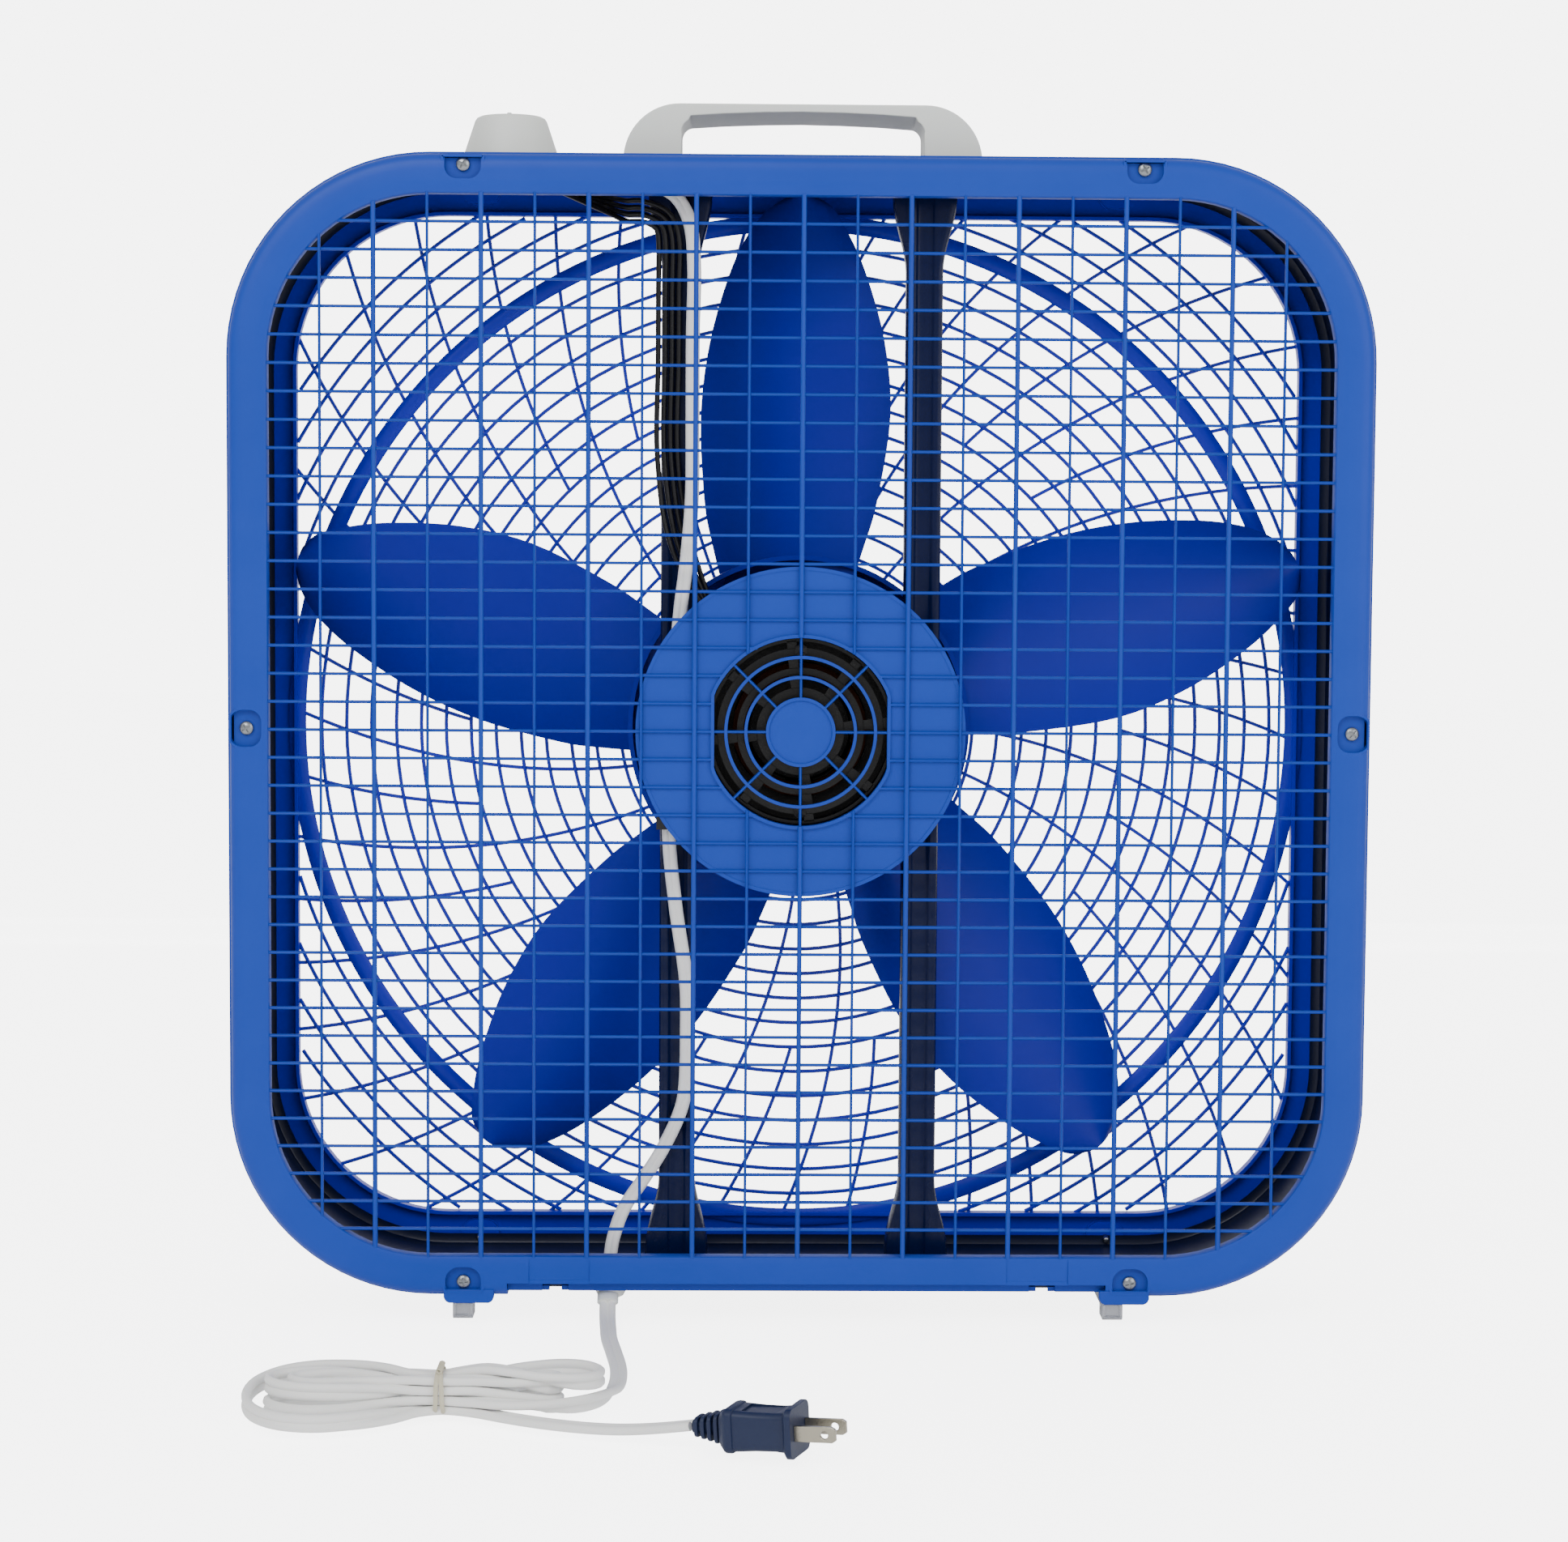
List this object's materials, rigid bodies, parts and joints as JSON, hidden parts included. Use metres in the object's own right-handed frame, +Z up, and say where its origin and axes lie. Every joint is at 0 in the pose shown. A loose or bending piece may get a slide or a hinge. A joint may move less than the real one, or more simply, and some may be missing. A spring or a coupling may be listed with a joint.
{
  "type": "box fan",
  "caption": "Square box fan with round corners: barred rear grille, ringed front grille, bladed propeller, motor on two struts, top knob and handle, and a tied mains cord.",
  "frame": {"origin": "middle of the body's footprint on the floor that the feet stand on", "axes": "+Z up, +Y out of the rear (air inlet) grille, -Y out of the front (air outlet) grille, +X towards the control knob"},
  "size_m": [0.52, 0.3414, 0.557],
  "materials": {
    "grille_blue": "satin moulded plastic, medium blue",
    "front_grille_blue": "satin moulded plastic, royal blue",
    "band_navy": "gloss paint on steel sheet",
    "strut_navy": "gloss paint on pressed steel",
    "propeller_blue": "satin moulded plastic, slightly translucent",
    "light_plastic": "fine-grained moulded plastic",
    "clear_plastic": "clear soft plastic",
    "white_vinyl": "soft vinyl cord jacket",
    "navy_vinyl": "moulded vinyl",
    "black_vinyl": "wire insulation",
    "black_paint": "black paint on pressed steel",
    "zinc": "zinc plate",
    "bare_steel": "bare steel",
    "nickel": "nickel plate on brass",
    "copper_wire": "enamelled copper wire",
    "bronze": "sintered bronze",
    "black_plastic": "moulded plastic",
    "tie_paper": "paper-covered wire tie"
  },
  "bodies": {
    "frame": {"housing_band": "band_navy", "rear_grille": "grille_blue", "front_grille": "front_grille_blue", "strut_left": "strut_navy", "strut_right": "strut_navy", "motor_rear_bell": "black_paint", "motor_front_bell": "black_paint", "stator_core": "bare_steel", "stator_winding": "copper_wire", "rear_bearing": "bronze", "front_bearing": "bronze", "foot_left": "clear_plastic", "foot_right": "clear_plastic", "carry_handle": "light_plastic", "switch_body": "black_plastic", "switch_nut": "zinc", "cord_bushing": "white_vinyl", "inner_cord": "white_vinyl", "cord_clip": "black_plastic", "cord_run": "white_vinyl", "cord_hank": "white_vinyl", "cord_tail": "white_vinyl", "cord_tie": "tie_paper", "plug_body": "navy_vinyl", "plug_blade_1": "nickel", "plug_blade_2": "nickel", "rear_screw_1": "zinc", "rear_screw_2": "zinc", "rear_screw_3": "zinc", "rear_screw_4": "zinc", "rear_screw_5": "zinc", "rear_screw_6": "zinc", "front_screw_1": "zinc", "motor_screw_1": "zinc", "strut_screw_1": "zinc", "motor_lead_1": "black_vinyl", "front_screw_2": "zinc", "motor_screw_2": "zinc", "strut_screw_2": "zinc", "motor_lead_2": "black_vinyl", "front_screw_3": "zinc", "motor_screw_3": "zinc", "strut_screw_3": "zinc", "motor_lead_3": "black_vinyl", "front_screw_4": "zinc", "motor_screw_4": "zinc", "strut_screw_4": "zinc", "motor_lead_4": "black_vinyl", "motor_bolt_1": "zinc", "handle_screw_1": "zinc", "motor_bolt_2": "zinc", "handle_screw_2": "zinc"},
    "rotor": {"fan_propeller": "propeller_blue", "propeller_clip": "zinc", "motor_shaft": "bare_steel", "rotor_core": "bare_steel"},
    "knob": {"control_knob": "light_plastic", "switch_shaft": "bare_steel"}
  },
  "joints": [
    {"name": "rotor_spin", "type": "hinge", "parent": "frame", "child": "rotor", "pos_m": [0, 0, 0.2705], "axis": [0, 1, 0], "continuous": true},
    {"name": "knob_turn", "type": "hinge", "parent": "frame", "child": "knob", "pos_m": [0.135, 0, 0.54], "axis": [0, 0, 1], "range_deg": [0, 135]}
  ]
}
